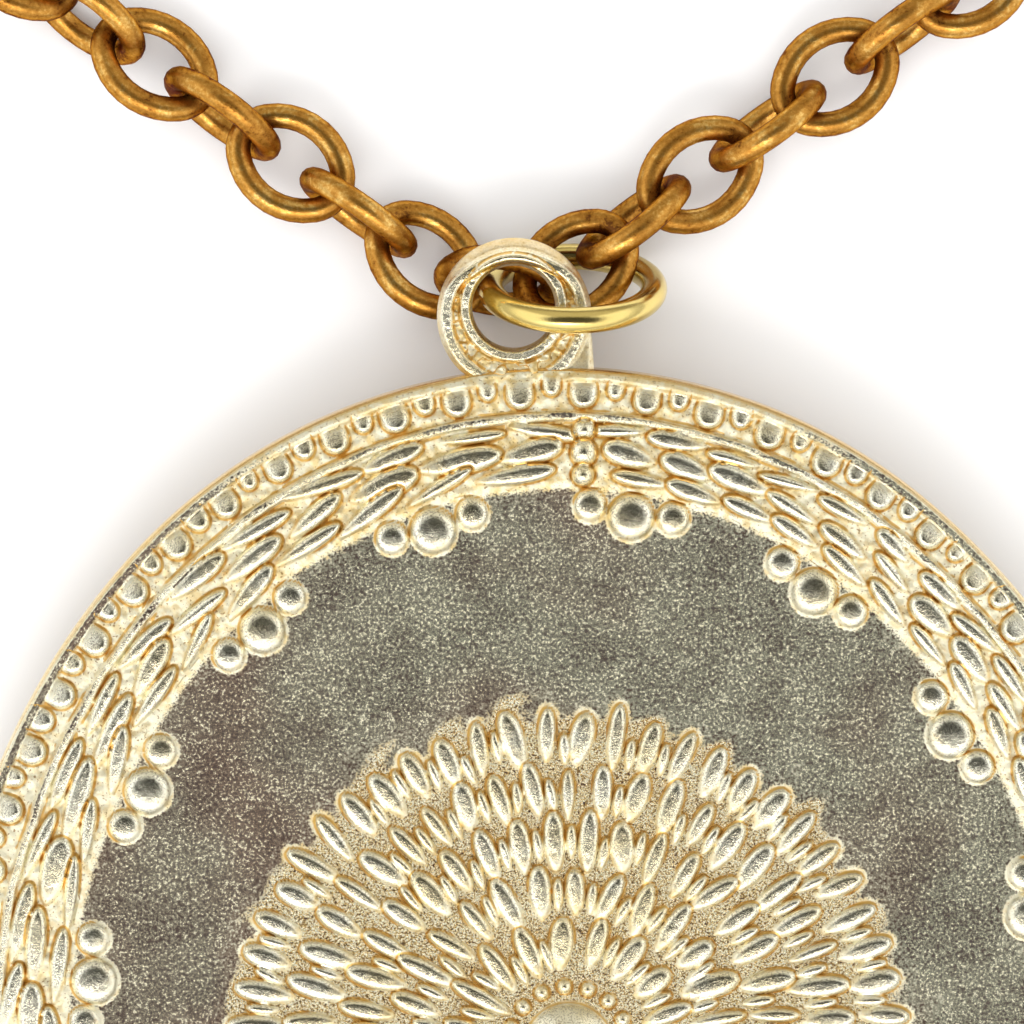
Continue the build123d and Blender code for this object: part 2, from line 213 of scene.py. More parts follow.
def mix_colour(tree, factor, first, second, blend="MIX"):
    """Mixes two colours or sockets; a mix node's sockets 0, 6 and 7 are its factor and colours."""
    mixer = add_node(tree, "ShaderNodeMix", data_type="RGBA", blend_type=blend)
    for socket, value in ((0, factor), (6, first), (7, second)):
        if isinstance(value, bpy.types.NodeSocket):
            tree.links.new(value, mixer.inputs[socket])
        elif isinstance(value, tuple):
            mixer.inputs[socket].default_value = (*value, 1.0)
        else:
            mixer.inputs[socket].default_value = value
    return mixer.outputs[2]


def math_node(tree, operation, *values):
    """A math node fed with values or sockets."""
    node = add_node(tree, "ShaderNodeMath", operation=operation)
    for n, value in enumerate(values):
        if isinstance(value, bpy.types.NodeSocket):
            tree.links.new(value, node.inputs[n])
        else:
            node.inputs[n].default_value = value
    return node.outputs[0]


def remap(tree, value, low, high, to_low, to_high, eased=False):
    """Maps a socket from one range to another, held at the ends."""
    kind = "SMOOTHSTEP" if eased else "LINEAR"
    node = add_node(tree, "ShaderNodeMapRange", {
        "Value": value, "From Min": low, "From Max": high, "To Min": to_low, "To Max": to_high},
        interpolation_type=kind)
    return node.outputs["Result"]


# %% Light tent
TENT_HEIGHTS = [
    (0.0, (0.42, 0.42, 0.42)),
    (0.22, (0.55, 0.55, 0.55)),
    (0.42, (1.0, 1.0, 1.0)),
    (1.0, (1.0, 1.0, 1.0)),
]
FAR_SIDE_TINT = (0.50, 0.48, 0.42)
FAR_SIDE_FADE = (0.02, 0.32)
FAR_SIDE_NARROWING = 0.7
OPENING_AT = (0.03, -0.10, 0.995)
OPENING_COLOUR = (0.05, 0.05, 0.045)
OPENING_EDGES = (40, 27)
TENT_STRENGTH = 1.45

world = bpy.data.worlds.new("light_tent")
world.use_nodes = True
sky = world.node_tree
sky.nodes.clear()
direction = add_node(sky, "ShaderNodeTexCoord").outputs["Generated"]
ray = add_node(sky, "ShaderNodeSeparateXYZ", {"Vector": direction}).outputs
tent = add_ramp(sky, ray["Z"], TENT_HEIGHTS)

sideways = math_node(sky, "MULTIPLY", math_node(sky, "ABSOLUTE", ray["X"]), FAR_SIDE_NARROWING)
away = math_node(sky, "SUBTRACT", ray["Y"], sideways)
far_side = remap(sky, away, *FAR_SIDE_FADE, 0.0, 1.0, eased=True)
dimmer_tent = mix_colour(sky, 1.0, tent, FAR_SIDE_TINT, "MULTIPLY")
tent = mix_colour(sky, far_side, tent, dimmer_tent)

towards = add_node(sky, "ShaderNodeVectorMath", {0: direction, 1: OPENING_AT},
                   operation="DOT_PRODUCT").outputs["Value"]
outer_edge, inner_edge = (math.cos(math.radians(degrees)) for degrees in OPENING_EDGES)
opening = remap(sky, towards, outer_edge, inner_edge, 0.0, 1.0)
tent = mix_colour(sky, opening, tent, OPENING_COLOUR)
tent_glow = add_node(sky, "ShaderNodeBackground", {"Color": tent, "Strength": TENT_STRENGTH})
print("tent of", len(sky.nodes), "nodes")

# %% Lamps
LAMP_AT = (-0.10, -0.55)
LAMP_SPREAD = (0.28, 0.10)
LAMP_RISES = (0.1, 0.4)
LAMP_COLOUR = (1.0, 0.98, 0.95, 1.0)
LAMP_STRENGTH = 9.0
FILL_SIZE = 0.8
FILL_ENERGY = 3.1
FILL_HEIGHT = 0.7

lamp = 0.0
for axis, middle, spread in zip("XY", LAMP_AT, LAMP_SPREAD):
    off = math_node(sky, "DIVIDE", math_node(sky, "SUBTRACT", ray[axis], middle), spread)
    lamp = math_node(sky, "ADD", lamp, math_node(sky, "MULTIPLY", off, off))
lamp = math_node(sky, "EXPONENT", math_node(sky, "MULTIPLY", lamp, -1.0))
lamp = math_node(sky, "MULTIPLY", lamp, remap(sky, ray["Z"], *LAMP_RISES, 0.0, 1.0))
lamp = math_node(sky, "MULTIPLY", lamp, LAMP_STRENGTH)
lamp_glow = add_node(sky, "ShaderNodeBackground", {"Color": LAMP_COLOUR, "Strength": lamp})
glow = add_node(sky, "ShaderNodeAddShader", {
    0: tent_glow.outputs["Background"], 1: lamp_glow.outputs["Background"]})
add_node(sky, "ShaderNodeOutputWorld", {"Surface": glow.outputs["Shader"]})
bpy.context.scene.world = world
bpy.context.scene.view_settings.view_transform = "Standard"

fill_data = bpy.data.lights.new("overhead_fill", "AREA")
fill_data.size = FILL_SIZE
fill_data.energy = FILL_ENERGY
fill = bpy.data.objects.new("overhead_fill", fill_data)
fill.location = (look_x * MM, look_y * MM, FILL_HEIGHT)
fill.visible_glossy = False
fill.visible_camera = False
bpy.context.scene.collection.objects.link(fill)
print("sky of", len(sky.nodes), "nodes, fill lamp", FILL_HEIGHT, "m up")

# %% [markdown]
# ## Floor
# The pendant lies on a plain pale sheet. One large square does for it, far wider than any view,
# with a fine paper tooth as bump. It isn't part of the necklace.

# %% Floor
FLOOR_REACH = 4.0
CARD_WHITE = (0.93, 0.93, 0.94, 1.0)
FIBRE_SCALE = 900.0


def new_material(name):
    """An empty node material, and the tree to build in."""
    material = bpy.data.materials.new(name)
    material.use_nodes = True
    material.node_tree.nodes.clear()
    return material, material.node_tree


def finish_material(material, shader):
    """Connects the shader to the material's output."""
    add_node(material.node_tree, "ShaderNodeOutputMaterial", {"Surface": shader.outputs["BSDF"]})
    print(material.name, "has", len(material.node_tree.nodes), "nodes")


white_card, tree = new_material("white_card")
fibre = add_node(tree, "ShaderNodeTexNoise", {"Scale": FIBRE_SCALE, "Detail": 4.0})
tooth = add_node(tree, "ShaderNodeBump", {
    "Height": fibre.outputs["Fac"], "Strength": 0.12, "Distance": 0.0002})
finish_material(white_card, add_node(tree, "ShaderNodeBsdfPrincipled", {
    "Base Color": CARD_WHITE, "Roughness": 0.8, "Normal": tooth.outputs["Normal"]}))

corners = [(-1, -1), (1, -1), (1, 1), (-1, 1)]
floor_mesh = bpy.data.meshes.new("floor")
floor_mesh.from_pydata([(x * FLOOR_REACH, y * FLOOR_REACH, 0) for x, y in corners], [], [(0, 1, 2, 3)])
floor_mesh.materials.append(white_card)
floor = bpy.data.objects.new("floor", floor_mesh)
bpy.context.scene.collection.objects.link(floor)

# %% [markdown]
# ## The skin of the plate
# Low relief is easiest to shape as a height over the plate, the way a die sinker cuts a die. The
# skin is a set of rings of points: the rim with its beads, the wreath, the open field, and the
# rosette in the middle. All rings are shaped together as one list of points, so the relief runs
# on across their seams. Each point carries its height, and four marks for the finish: how much
# painted reflection it carries (orange bounce light in grooves, tan and brown on edges and walls),
# how clean it is rubbed, together with a painted halo of light round the forms and a painted dark
# reflection along the raised line, how grainy it is and how much it is polished.

# %% Rings of points
# Insets of the border's seams, radii of the rosette's, and how far the die sat off the middle
RIM_START = 0.16
BEADS_END = 1.53
WREATH_END = 4.22
ROSETTE_RADIUS = 12.7
HEART_RADIUS = 6.3
CENTRE_RADIUS = 0.04
DIE_SHIFT = 0.12

# Points a row, and rows in each of the three inner rings
BORDER_COUNT = 2160
FIELD_COUNT = 1440
ROSETTE_COUNT = 960
HEART_COUNT = 480
INNER_ROWS = 62


def full_turn(count):
    """Shares of the way round for one ring."""
    return np.arange(count) / count


def inset_rows(insets, count):
    """Rows of points that follow the outline at each inset."""
    x, y, angle = on_oval(full_turn(count), 0)
    c, s = np.cos(np.radians(angle)), np.sin(np.radians(angle))
    insets = np.asarray(insets)[:, None]
    return x - insets * c, y - insets * s


def circle_rows(radii, count):
    """Rows of points on circles round the die's middle."""
    angle = full_turn(count) * 2 * math.pi
    radii = np.asarray(radii)[:, None]
    return radii * np.cos(angle), radii * np.sin(angle) - DIE_SHIFT


def between_rows(rows, count):
    """Rows of points that change from the wreath's inner oval to the rosette's circle."""
    x0, y0 = inset_rows([WREATH_END], count)
    angle = np.arctan2(y0[0] + DIE_SHIFT, x0[0])
    x1 = ROSETTE_RADIUS * np.cos(angle)
    y1 = ROSETTE_RADIUS * np.sin(angle) - DIE_SHIFT
    t = np.linspace(0, 1, rows)[:, None]
    return x0 * (1 - t) + x1 * t, y0 * (1 - t) + y1 * t


rings = {
    "rim_and_beads": inset_rows(np.linspace(RIM_START, BEADS_END, 22), BORDER_COUNT),
    "wreath": inset_rows(np.linspace(BEADS_END, WREATH_END, 41), BORDER_COUNT),
    "field": between_rows(INNER_ROWS, FIELD_COUNT),
    "rosette": circle_rows(np.linspace(ROSETTE_RADIUS, HEART_RADIUS, INNER_ROWS), ROSETTE_COUNT),
    "rosette_heart": circle_rows(np.linspace(HEART_RADIUS, CENTRE_RADIUS, INNER_ROWS), HEART_COUNT),
}
skin_x = np.concatenate([x.ravel() for x, y in rings.values()])
skin_y = np.concatenate([y.ravel() for x, y in rings.values()])
skin_inset = inset_of(skin_x, skin_y)
die_inset = inset_of(skin_x, skin_y + DIE_SHIFT)
print("skin points", len(skin_x))

# %% [markdown]
# ## Ground under the relief
# Before any leaf is pressed, the rim stands highest. Inside it the ground of the border is a
# little higher than the open field, and a thin raised line parts the beads from the wreath. A
# casting is never quite flat, so waves are added, worked out from fixed random numbers.

# %% Ground height
dice = np.random.default_rng(11)


def smooth(low, high, value):
    """Eases from 0 at low to 1 at high."""
    t = np.clip((value - low) / (high - low), 0, 1)
    return t * t * (3 - 2 * t)


def waves(x, y, shortest, longest, count=14):
    """Irregular waves of about unit height, with wave lengths between two limits."""
    total = np.zeros_like(x)
    for n in range(count):
        length = shortest * (longest / shortest) ** dice.random()
        heading, phase = dice.random(2) * 2 * math.pi
        along = x * math.cos(heading) + y * math.sin(heading)
        total += np.sin(along * 2 * math.pi / length + phase)
    return total / math.sqrt(count)


LINE_AT = 1.71
LINE_RISE = 0.17
LINE_HALF_WIDTH = 0.16
BORDER_GROUND = FIELD + 0.1
RIM_DROP = 0.10
unevenness = waves(skin_x, skin_y, 1.2, 5.0)
ripple = waves(skin_x, skin_y, 0.35, 0.9, count=24)
fine_ripple = waves(skin_x, skin_y, 0.16, 0.32, count=30)
die_radius = np.hypot(skin_x, skin_y + DIE_SHIFT)
under_eyelet = smooth(3.0, 2.7, np.hypot(skin_x - EYELET_X, skin_y))
in_border = 1 - smooth(3.95, 4.5, die_inset)
in_rosette = 1 - smooth(11.4, 12.7, die_radius + 0.5 * unevenness)

skin_z = FIELD + (BORDER_GROUND - FIELD) * in_border
rim_lift = (1 - smooth(0.36, 0.54, skin_inset + 0.02 * unevenness)) * (1 - under_eyelet)
rim_top_side = smooth(0.80, 1.0, skin_x / HALF_HEIGHT)
round_depth = 0.05 + 0.06 * rim_top_side
round_width = 0.10 + 0.24 * rim_top_side
rim_round = round_depth * np.clip(1 - (skin_inset - 0.06) / round_width, 0, 1) ** 2
skin_z = skin_z + (RIM_TOP - RIM_DROP - BORDER_GROUND - rim_round) * rim_lift
line_wander = die_inset - LINE_AT - 0.03 * unevenness
raised_line = np.exp(-((line_wander / LINE_HALF_WIDTH) ** 8))
skin_z = skin_z + (LINE_RISE + 0.006 * fine_ripple) * raised_line
cast_rough = np.maximum(in_border * (1 - rim_lift) * (1 - 0.8 * raised_line), 0.9 * in_rosette)
skin_z = skin_z + (0.004 + 0.008 * in_border) * unevenness + (0.002 + 0.020 * cast_rough) * ripple
skin_z = skin_z + 0.006 * cast_rough * fine_ripple
print("ground from", skin_z.min().round(2), "to", skin_z.max().round(2), "mm")

# %% Marks of the ground
LINE_SIDE = 0.24
PAINTED_RIM_EDGE_STRENGTH = 0.76
# Painted reflection: orange bounce light in the hollows at both feet of the raised line
painted_reflection = np.exp(-(((np.abs(line_wander) - LINE_SIDE) / 0.10) ** 2))
painted_reflection = painted_reflection * smooth(-1.4, 0.2, unevenness + 0.5 * ripple)
# Painted reflection: a tan band on the rim's rounded outer edge, on the half towards the eyelet
painted_rim_edge = smooth(0.26, 0.18, skin_inset) * smooth(0.2, 0.7, skin_x / HALF_HEIGHT) * rim_lift
painted_reflection = np.maximum(painted_reflection, PAINTED_RIM_EDGE_STRENGTH * painted_rim_edge)
rubbed_and_painted_light = np.maximum(1 - smooth(4.0, 4.7, die_inset), 0.9 * in_rosette)
rim_band = smooth(0.16, 0.22, skin_inset) * rim_lift * (1 - rim_top_side)
# Painted reflection: the raised line's flat top takes the dark sand colours, as if it mirrored the tent's
# dark top
rubbed_and_painted_light = rubbed_and_painted_light - 1.5 * smooth(0.13, 0.04, np.abs(line_wander)) * in_border
grain = 0.48 + 0.92 * in_rosette
polish = 0.15 * rim_lift + 0.6 * raised_line
print("share of points on clean ground", (rubbed_and_painted_light > 0.5).mean().round(2))

# %% [markdown]
# ## Stamping one leaf or bead
# Each leaf and bead is pressed into the skin by the same tool: an egg shape with a rounded edge,
# a nearly flat crown, and a sharp groove close round it. A painted line of orange bounce light
# runs along the groove, and a painted halo of paler gold spreads on the field round it. The
# distance from the egg's edge comes from its implicit equation divided by its slope, which is
# close enough near the edge. A tip pressed later covers what lies under it, so leaves can overlap
# like scales.

# %% Stamping tool
GROOVE_LINE = 0.05
# Width of the painted line of orange bounce light round each form
PAINTED_LINE_WIDTH = 0.10
LINE_OFF = 0.02
stamped = np.zeros_like(skin_z)


def stamp(x, y, heading, length, width, rise, egg=0.0, edge=0.2, crown=0.3, ground=FIELD,
          groove_depth=0.04, open_base=0.0, fall=0.0, painted_halo=0.28, rough=0.0, shine=1.0, drop=False):
    """Presses one egg-shaped form whose tip points along a heading in degrees. A drop's base is
    stretched and fades out, so that it seems to hang from what lies behind it."""
    dx, dy = skin_x - x, skin_y - y
    reach = length / 2 + 0.45
    near = np.flatnonzero((np.abs(dx) < reach) & (np.abs(dy) < reach))
    c, s = math.cos(math.radians(heading)), math.sin(math.radians(heading))
    t = (dx[near] * c + dy[near] * s) * 2 / length
    half = width / 2 * (1 + egg * np.clip(t, -1.2, 1.2))
    q = (dy[near] * c - dx[near] * s) / half
    bow = np.where(t < 0, 0.6 * t, t) if drop else t
    r = np.sqrt(bow * bow + q * q) + 1e-6
    slope = np.sqrt((bow * 2 / length / r) ** 2 + (q / half / r) ** 2)
    off = (r - 1) / slope
    tip = 1 - open_base * (1 - smooth(-0.6, 0.3, t))
    if drop:
        near, t, r, off, tip = (v[t > -1.0] for v in (near, t, r, off, smooth(-1.0, -0.7, t)))

    step = np.clip(-off / edge, 0, 1)
    body = np.sqrt(1 - (1 - step) ** 2) * (1 - crown) + crown * np.clip(1 - r * r, 0, 1)
    top = ground + rise * body * (1 - fall * (1 - t) / 2)
    dip = groove_depth * np.exp(-(((off - LINE_OFF) / GROOVE_LINE) ** 2)) * tip
    # Painted reflection: the line of orange bounce light along the groove round the form
    line = np.exp(-(((off - LINE_OFF) / PAINTED_LINE_WIDTH) ** 2)) * tip
    inside = (off < 0) & ((top > skin_z[near]) | (t > 0.1) | (open_base == 0))

    into = near[inside]
    skin_z[into] = top[inside]
    painted_reflection[into] = line[inside]
    polish[into] = (shine * smooth(0.0, 0.1, -off) * (1 - open_base * smooth(-0.1, -0.9, t)))[inside]
    rubbed_and_painted_light[into] = 1.0
    grain[into] = rough
    stamped[into] = 1.0
    outside = off >= 0
    beside = near[outside]
    skin_z[beside] -= dip[outside]
    painted_reflection[beside] = np.maximum(painted_reflection[beside], line[outside])
    # Painted light: a halo of paler gold on the field round the form
    rubbed_and_painted_light[beside] = np.maximum(rubbed_and_painted_light[beside], np.exp(-((off[outside] / painted_halo) ** 2)))


# %% [markdown]
# ## Bead row
# Large and small beads take turns inside the rim. Each hangs from it like a drop, with a groove
# round its inner end. The small ones are lower and closer to the rim. Copies of one bead would
# look machined, so each gets a size and turn of its own.

# %% Beads
BEAD_PAIRS = 62
BEAD_INSET = 0.90
# Place in the pair, inset, length, width, rise, and how much these vary
BEADS = [
    (0.5, BEAD_INSET - 0.24, 0.86, 0.76, 0.30, 0.10),
    (0.0, BEAD_INSET, 1.06, 1.04, 0.42, 0.03),
]
for n in range(BEAD_PAIRS):
    for place_in_pair, inset, length, width, rise, jitter in BEADS:
        share = (n + place_in_pair) / BEAD_PAIRS
        x, y, angle = on_oval(share, inset + 0.3 * jitter * dice.normal())
        size = 1 + jitter * dice.normal()
        stamp(x, y, angle + 180 + 100 * jitter * dice.normal(), length * size, width * size, rise,
              edge=0.27, crown=0.22, ground=BORDER_GROUND - 0.01, groove_depth=0.05,
              open_base=1.0, fall=0.7, rough=0.24, shine=0.95, drop=True)
print("beads", BEAD_PAIRS * len(BEADS))

# %% [markdown]
# ## Wreath
# Three rows of leaves run from the join near the top down both sides to the foot. The leaves
# point up to the join and overlap like scales, so the rows are stamped from the join downwards
# and each tip covers the base of the leaf above it. The right half has more and shorter leaves.

# %% Leaves of the wreath
JOIN_ANGLE = -6.4
JOIN_SHARE = JOIN_ANGLE / 360 * 2 * END_RADIUS / (END_RADIUS + SIDE_RADIUS)
PERIMETER = math.pi * (END_RADIUS + SIDE_RADIUS)
LEFT_TRIPLES = 24
RIGHT_TRIPLES = 29
# Inset, width, how far a row lags in leaves, and how far its tips splay in degrees
WREATH_ROWS = [
    (2.20, 0.58, 0.0, -4),
    (2.94, 0.84, 0.25, 3),
    (3.70, 0.62, 0.5, 8),
]


def stamp_wreath(triples, foot):
    """Stamps the leaves of one side; foot is the share at the plate's foot."""
    side = 1 if foot > 0 else -1
    for n in range(triples):
        for inset, width, lag, splay in WREATH_ROWS:
            leaves = n + 0.5 + lag + 0.03 * dice.normal()
            share = JOIN_SHARE + (foot - JOIN_SHARE) * leaves / (triples + 0.5)
            x, y, angle = on_oval(share, inset + 0.05 * dice.normal())
            around = PERIMETER - 2 * math.pi * inset
            length = around * abs(foot - JOIN_SHARE) / (triples + 0.5) * (1.02 + 0.08 * dice.normal())
            heading = angle - side * (90 - splay - 5.0 * dice.normal())
            stamp(x, y - DIE_SHIFT, heading, length, width * (1 + 0.13 * dice.normal()),
                  0.22 + 0.12 * width, egg=0.22, edge=0.33 * width, crown=0.12,
                  ground=BORDER_GROUND, groove_depth=0.04, open_base=1.0, fall=0.3,
                  painted_halo=0.35, rough=0.24, shine=0.95)


stamp_wreath(LEFT_TRIPLES, 0.5)
stamp_wreath(RIGHT_TRIPLES, -0.5)
print("leaves", (LEFT_TRIPLES + RIGHT_TRIPLES) * len(WREATH_ROWS))

# %% Joins
# Inset, length and width of the three beads at each join
JOIN_BEADS = [(2.18, 0.82, 0.86), (2.98, 1.05, 0.98), (3.78, 0.84, 0.84)]
for share in (JOIN_SHARE, 0.5):
    for inset, length, width in JOIN_BEADS:
        x, y, angle = on_oval(share, inset)
        stamp(x, y - DIE_SHIFT, angle, length, width, 0.34, edge=0.2, crown=0.7,
              ground=BORDER_GROUND, groove_depth=0.06, rough=0.22, shine=0.95)
print("beads at the joins", 2 * len(JOIN_BEADS))

# %% [markdown]
# ## Lobes and rosette
# The middle of a medallion carries its picture. Here it is a plain ornament: groups of three
# round lobes inside the wreath, and a leafy rosette round a domed boss. The same tool presses
# them, from the outermost ring inwards, so that each ring's tips cover the bases beyond it.

# %% Lobes
LOBE_GROUPS = 16
LOBE_INSET = 4.27
# Diameter, shift along the wreath and rise of the three lobes of a group
LOBES = [(1.2, 1.5, 0.25), (1.2, -1.5, 0.25), (1.7, 0, 0.36)]
for n in range(LOBE_GROUPS):
    for diameter, shift, rise in LOBES:
        inset = LOBE_INSET + diameter / 2
        share = (n + 0.5) / LOBE_GROUPS + shift / (PERIMETER - 2 * math.pi * inset)
        x, y, angle = on_oval(share, inset)
        stamp(x, y - DIE_SHIFT, angle, diameter, diameter * 0.98, rise, edge=diameter * 0.23,
              crown=0.2, groove_depth=0.03, open_base=0.7, painted_halo=0.12, rough=0.24, shine=1.0)
print("lobes", LOBE_GROUPS * len(LOBES))

# %% Rosette
BOSS = 3.2
PEARL = 0.56
PEARLS = 16
PEARL_RADIUS = BOSS / 2 + PEARL
LEAF_LENGTH = 2.0
LEAF_WIDTH = 0.72
LEAF_GAP = 0.5
LEAF_RISE = 0.24
SMALL_LEAF = (1.2, 0.42)
SMALL_LEAF_CHANCE = 0.7
LEAF_RINGS = 5
RING_STEP = 1.85
FIRST_RING = PEARL_RADIUS + PEARL + LEAF_LENGTH / 2


def rosette_leaf(radius, degrees, length, width):
    """One leaf of the rosette that points away from the boss."""
    angle = math.radians(degrees)
    stamp(radius * math.cos(angle), radius * math.sin(angle) - DIE_SHIFT, degrees + 5 * dice.normal(),
          length, width, LEAF_RISE, egg=0.12, edge=0.33 * width, crown=0.12, groove_depth=0.03,
          open_base=0.8, fall=0.3, painted_halo=0.2, rough=0.24, shine=0.95)


for ring in reversed(range(LEAF_RINGS)):
    radius = FIRST_RING + ring * RING_STEP
    count = int(2 * math.pi * radius / (LEAF_WIDTH + LEAF_GAP))
    for n in range(count):
        degrees = (n + ring % 2 / 2) * 360 / count
        if dice.random() < SMALL_LEAF_CHANCE:
            rosette_leaf(radius - 0.25 + 0.2 * dice.normal(), degrees + 180 / count, *SMALL_LEAF)
        rosette_leaf(radius + 0.08 * dice.normal(), degrees, LEAF_LENGTH * (1 + 0.08 * dice.normal()),
                     LEAF_WIDTH * (1.08 + 0.14 * dice.normal()))
    print("ring", ring, "of the rosette has", count, "large leaves")

# %% Boss and pearls
for n in range(PEARLS):
    angle = n * 2 * math.pi / PEARLS
    stamp(PEARL_RADIUS * math.cos(angle), PEARL_RADIUS * math.sin(angle) - DIE_SHIFT, 0, PEARL,
          PEARL, 0.22, edge=0.25, crown=0.5, rough=0.2, shine=0.8)
stamp(0, -DIE_SHIFT, 0, BOSS, BOSS, 0.8, edge=1.3, crown=0.7, groove_depth=0.08, rough=0.24, shine=0.95)

# Casting and wear leave the tops a little uneven too
skin_z += stamped * (0.0018 * ripple + 0.0004 * fine_ripple)
# The rim's flat band is dull, also between the beads
rubbed_and_painted_light = np.minimum(rubbed_and_painted_light, 1 - 0.75 * rim_band * (1 - stamped))
print("relief from", skin_z.min().round(2), "to", skin_z.max().round(2), "mm")

# %% [markdown]
# ## From points to pieces
# Every ring of the skin becomes a closed piece of its own: the shaped face on top, walls down its
# two sides, and the flat back. Walls and back get their own few rows of points. The edges where
# walls meet the face are marked sharp, so that the smooth shading doesn't round them.

# %% Mesh helpers
SHARP = math.radians(70)


def quads_of(rows, count, wrap_rows):
    """Quads between rows of points that close round the ring. Where the rows run inwards, as on
    the plate, the caller turns each quad over so that it still faces out."""
    index = np.arange(rows * count).reshape(rows, count)
    lower = index if wrap_rows else index[:-1]
    upper = np.roll(index, -1, 0) if wrap_rows else index[1:]
    faces = [upper, np.roll(upper, -1, 1), np.roll(lower, -1, 1), lower]
    return np.stack([f.ravel() for f in faces], 1)


def make_piece(name, points, faces, marks=None):
    """A smooth mesh object from points in metres, quads and marks given point by point."""
    mesh = bpy.data.meshes.new(name)
    mesh.vertices.add(len(points))
    mesh.vertices.foreach_set("co", np.ascontiguousarray(points, np.float32).ravel())
    mesh.loops.add(faces.size)
    mesh.loops.foreach_set("vertex_index", np.ascontiguousarray(faces, np.int32).ravel())
    mesh.polygons.add(len(faces))
    mesh.polygons.foreach_set("loop_start", np.arange(0, faces.size, faces.shape[1], dtype=np.int32))
    mesh.update(calc_edges=True)
    mesh.validate()
    for mark, values in (marks or {}).items():
        layer = mesh.attributes.new(mark, "FLOAT", "POINT")
        layer.data.foreach_set("value", np.ascontiguousarray(values, np.float32).ravel())
    mesh.shade_smooth()
    mesh.set_sharp_from_angle(angle=SHARP)
    piece = bpy.data.objects.new(name, mesh)
    bpy.context.scene.collection.objects.link(piece)
    print(name, len(faces) * (faces.shape[1] - 2), "triangles")
    return piece


# %% Face pieces
# Inset and height of each row of the outer wall, from the back to the top of the rim
OUTER_WALL = [
    (0.15, 0.0), (0.04, 0.04), (0.0, 0.15), (0.0, 0.95),
    (0.0, 1.72), (0.03, 1.84), (0.09, 1.92),
]
skin_marks = {"painted_reflection": painted_reflection, "rubbed_and_painted_light": rubbed_and_painted_light, "grain": grain, "polish": polish}
medal_pieces = []
start = 0
for name, (x, y) in rings.items():
    rows, count = x.shape
    part = slice(start, start + rows * count)
    start += rows * count
    z = skin_z[part].reshape(rows, count)
    none = np.zeros((1, count))
    wall_x, wall_y, wall_z = x[:1], y[:1], none
    if name == "rim_and_beads":
        wall_x, wall_y = inset_rows([inset for inset, level in OUTER_WALL], count)
        wall_z = np.array([[level] for inset, level in OUTER_WALL]) * (z[:1] / RIM_TOP)
    grid_x = np.concatenate([wall_x, x, x[-1:]])
    grid_y = np.concatenate([wall_y, y, y[-1:]])
    grid_z = np.concatenate([wall_z, z, none])
    # Painted reflection: the walls get a brownish band, the floor's shade mirrored at the outline, a
    # little stronger towards the eyelet
    wall_painted_reflection = 0.75 + 0.07 * smooth(0.5, 0.95, x[:1] / HALF_HEIGHT)
    wall_marks = {"painted_reflection": wall_painted_reflection, "rubbed_and_painted_light": 1.0, "grain": 0.2, "polish": 0.7}
    grid_marks = {}
    for mark, values in skin_marks.items():
        on_wall = wall_marks[mark] + np.zeros((len(wall_x) + 1, count))
        on_face = values[part].reshape(rows, count)
        grid_marks[mark] = np.concatenate([on_wall[1:], on_face, on_wall[:1]])
    points = off_the_plate(grid_x, grid_y, grid_z).reshape(-1, 3)
    turned_over = quads_of(len(grid_x), count, wrap_rows=True)[:, ::-1]
    medal_pieces.append(make_piece(name, points, turned_over, grid_marks))

# %% [markdown]
# ## Eyelet
# The eyelet is a thick washer cast with the plate. A raised rim runs round its hole and another
# one near its edge, with a channel full of worn lumps between them, and its far end has a wide
# soft bevel. On the right its side runs straight down to the plate. The face is a grid of points
# from the hole to the edge. The inner rim follows the distance from the hole, and the outer rim
# the distance from a full circle, so it stays round where the side runs straight.

# %% Grid of the eyelet
EYELET_FACE = 1.3
EYELET_ROWS = 40
EYELET_COUNT = 540
EYELET_FOOT = HALF_HEIGHT - 0.45
STRAIGHT_SIDE = 2.7
HOLE_SHIFT = HOLE_X - EYELET_X

# From the middle of the eyelet out to its edge: round, but straight down on the right, and cut
# off where the bead row begins
theta = full_turn(EYELET_COUNT) * 2 * math.pi
out_x, out_y = np.cos(theta), np.sin(theta)
foot = EYELET_FOOT - 0.4 * smooth(-0.45, -0.7, out_y)
to_foot = (EYELET_X - foot) / np.maximum(-out_x, 1e-3)
to_side = STRAIGHT_SIDE / np.maximum(-out_y, 1e-3)
at_right_foot = (out_y < 0) & (out_x < 0)
edge_reach = np.where(at_right_foot, np.maximum(to_side, EYELET / 2), EYELET / 2)
edge_reach = (edge_reach ** -12.0 + to_foot ** -12.0) ** (-1 / 12)
hole_start = np.sqrt((HOLE / 2) ** 2 - (HOLE_SHIFT * out_y) ** 2) + HOLE_SHIFT * out_x
share = np.linspace(0, 1, EYELET_ROWS)[:, None]
from_middle = hole_start + (edge_reach - hole_start) * share
face_x, face_y = EYELET_X + from_middle * out_x, from_middle * out_y

from_hole = np.hypot(face_x - HOLE_X, face_y) - HOLE / 2
from_edge = edge_reach - from_middle
from_round = EYELET / 2 - from_middle
at_top = smooth(0.4, 0.95, out_x) * np.ones_like(face_x)
near_foot = smooth(EYELET_FOOT + 1.2, EYELET_FOOT + 0.2, face_x)
print("eyelet from", from_middle.min().round(2), "to", from_middle.max().round(2), "mm out")

# %% Relief of the eyelet
OUTER_RIM_AT = 0.33 + 0.26 * at_top
INNER_RIM_AT = 0.25
lumps = waves(face_x.ravel(), face_y.ravel(), 0.45, 1.0, count=20).reshape(face_x.shape)
pits = waves(face_x.ravel(), face_y.ravel(), 0.15, 0.35, count=24).reshape(face_x.shape)


def ridge(distance, middle, half, power=2):
    """A ridge of unit height across a distance; a higher power makes its top flatter."""
    return np.exp(-(np.abs((distance - middle) / half) ** power))


